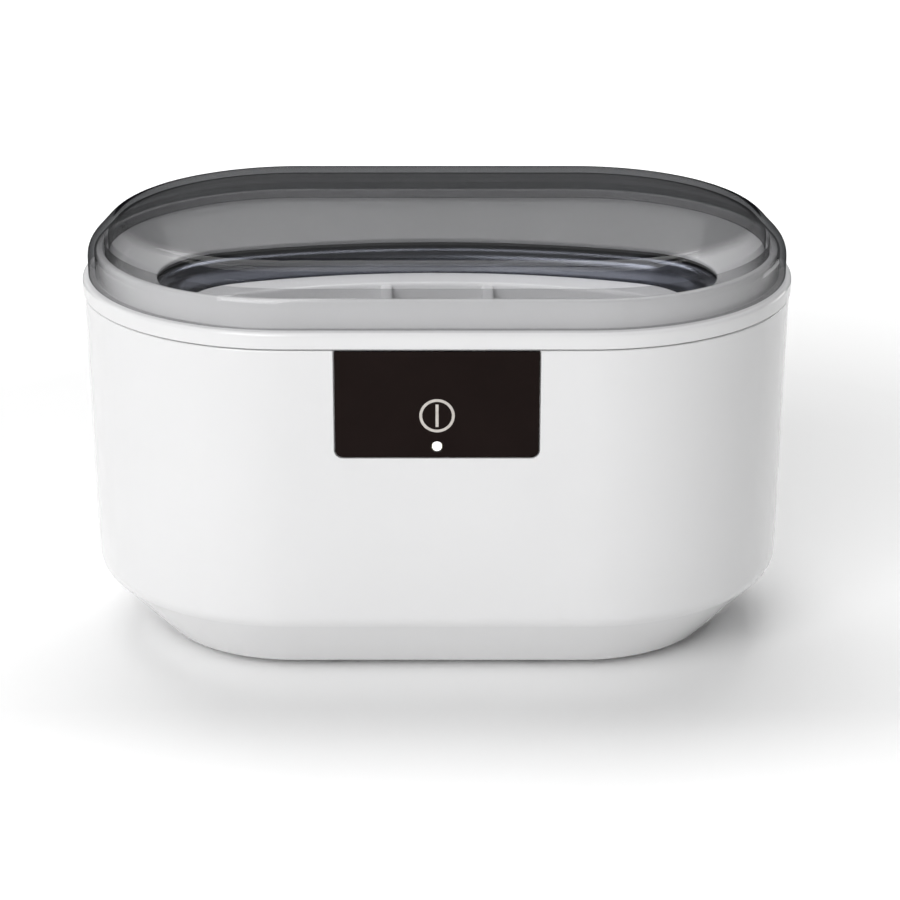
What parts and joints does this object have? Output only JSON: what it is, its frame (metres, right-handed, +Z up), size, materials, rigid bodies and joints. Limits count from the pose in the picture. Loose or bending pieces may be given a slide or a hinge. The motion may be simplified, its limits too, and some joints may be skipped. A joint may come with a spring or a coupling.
{
  "type": "ultrasonic cleaner",
  "caption": "Tabletop ultrasonic cleaner: white oval casing with steel tank, touch window, lift-out divided basket and smoky lift-off lid.",
  "frame": {"origin": "centre of the footprint, on the surface the feet stand on", "axes": "+X along the long side, to the right seen from the front; the touch window faces -Y; +Z up"},
  "size_m": [0.2096, 0.1246, 0.129],
  "materials": {
    "white_gloss": "gloss",
    "grey_plastic": "fine texture",
    "smoke_clear": "clear gloss, smoke tint",
    "tank_steel": "bright drawn",
    "black_rubber": "matt",
    "ceramic": "satin",
    "basket_plastic": "satin",
    "black_gloss": "high gloss",
    "lens_white": "satin",
    "circuit_board": "solder mask",
    "copper": "bright",
    "black_plastic": "fine texture",
    "sleeve_blue": "satin",
    "heatsink_aluminium": "satin",
    "fuse_glass": "clear",
    "cream_plastic": "satin",
    "wire_blue": "satin",
    "wire_red": "satin",
    "wire_grey": "satin",
    "pin_metal": "bright",
    "foot_rubber": "matt",
    "screw_steel": "bright"
  },
  "bodies": {
    "housing": {"base_plate": "grey_plastic", "base_screw_1": "screw_steel", "base_screw_2": "screw_steel", "base_screw_3": "screw_steel", "base_screw_4": "screw_steel", "board_screw_1": "screw_steel", "board_screw_2": "screw_steel", "board_screw_3": "screw_steel", "board_screw_4": "screw_steel", "body_shell": "white_gloss", "bulk_capacitor": "sleeve_blue", "driver_board": "circuit_board", "foot_1": "foot_rubber", "foot_2": "foot_rubber", "foot_3": "foot_rubber", "foot_4": "foot_rubber", "fuse": "fuse_glass", "heatsink": "heatsink_aluminium", "inductor": "copper", "inlet_body": "black_plastic", "inlet_pin_1": "pin_metal", "inlet_pin_2": "pin_metal", "led_lens": "lens_white", "mains_connector": "cream_plastic", "mains_lead_1": "wire_blue", "mains_lead_2": "wire_red", "panel_connector": "cream_plastic", "panel_ribbon": "wire_grey", "panel_window": "black_gloss", "power_transistor": "black_plastic", "status_led": "lens_white", "tank": "tank_steel", "tank_gasket": "black_rubber", "top_cover": "white_gloss", "touch_board": "circuit_board", "touch_spring": "copper", "transducer_connector": "cream_plastic", "transducer_disc": "ceramic", "transducer_lead_1": "wire_blue", "transducer_lead_2": "wire_red", "transformer": "black_plastic"},
    "basket": {"basket": "basket_plastic"},
    "lid": {"lid": "smoke_clear"}
  },
  "joints": [
    {"name": "lid_lift", "type": "slide", "parent": "housing", "child": "lid", "axis": [0, 0, 1], "range_m": [0, 0.15]},
    {"name": "basket_lift", "type": "slide", "parent": "housing", "child": "basket", "axis": [0, 0, 1], "range_m": [0, 0.075]}
  ],
  "couplings": [
    {"joint": "basket_lift", "follows": "lid_lift", "ratio": 0.5}
  ]
}
